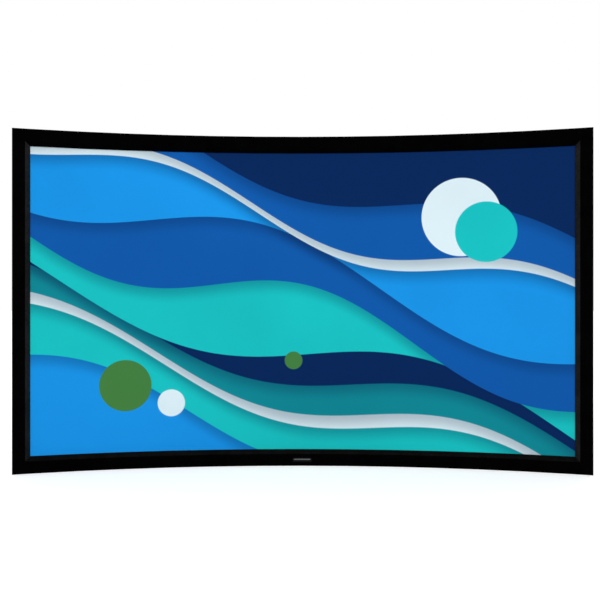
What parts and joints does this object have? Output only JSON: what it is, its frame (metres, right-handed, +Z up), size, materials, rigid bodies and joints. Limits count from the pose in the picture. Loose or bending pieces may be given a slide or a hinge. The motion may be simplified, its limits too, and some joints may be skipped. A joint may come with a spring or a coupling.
{
  "type": "curved fixed frame projector screen",
  "caption": "Curved wall-hung projector screen: a matte sheet stretched by rods and clips inside a mitred aluminium frame wrapped in black velvet, with rear bars and wall brackets.",
  "frame": {"origin": "middle of the object's width and depth, at the foot of the lower rail", "axes": "+X along the width, to the viewer's right; +Y back, to the wall; +Z up"},
  "size_m": [2.793, 0.262, 1.658],
  "materials": {
    "frame": "black powder coat",
    "velvet": "flocked black velvet",
    "sheet": "matte white front, black back",
    "rod": "plain",
    "steel": "zinc plated",
    "bar": "mill finish",
    "rubber": "matte",
    "badge": "black anodised"
  },
  "bodies": {
    "root": {"rail_bottom_left": "frame", "velvet_bottom_left": "velvet", "rail_bottom_right": "frame", "velvet_bottom_right": "velvet", "rail_top_left": "frame", "velvet_top_left": "velvet", "rail_top_right": "frame", "velvet_top_right": "velvet", "stile_left": "frame", "velvet_side_left": "velvet", "stile_right": "frame", "velvet_side_right": "velvet", "screen_sheet": "sheet", "rod_bottom_left": "rod", "rod_top_left": "rod", "rod_side_left": "rod", "rod_bottom_right": "rod", "rod_top_right": "rod", "rod_side_right": "rod", "corner_bracket_bottom_left": "steel", "corner_bracket_bottom_right": "steel", "splice_bar_bottom": "steel", "corner_bracket_top_left": "steel", "corner_bracket_top_right": "steel", "splice_bar_top": "steel", "support_bar_left": "bar", "bar_screw_bottom_left": "steel", "bar_nut_bottom_left": "steel", "bar_screw_top_left": "steel", "bar_nut_top_left": "steel", "support_bar_middle": "bar", "bar_screw_bottom_middle": "steel", "bar_screw_top_middle": "steel", "support_bar_right": "bar", "bar_screw_bottom_right": "steel", "bar_nut_bottom_right": "steel", "bar_screw_top_right": "steel", "bar_nut_top_right": "steel", "hanger_left": "steel", "wall_bracket_left": "steel", "standoff_left": "steel", "wall_pad_left": "rubber", "hanger_nut_left": "steel", "hanger_screw_left_1": "steel", "hanger_screw_left_2": "steel", "standoff_nut_left": "steel", "standoff_screw_left_1": "steel", "standoff_screw_left_2": "steel", "hanger_right": "steel", "wall_bracket_right": "steel", "standoff_right": "steel", "wall_pad_right": "rubber", "hanger_nut_right": "steel", "hanger_screw_right_1": "steel", "hanger_screw_right_2": "steel", "standoff_nut_right": "steel", "standoff_screw_right_1": "steel", "standoff_screw_right_2": "steel", "badge_plate": "badge"}
  },
  "joints": []
}
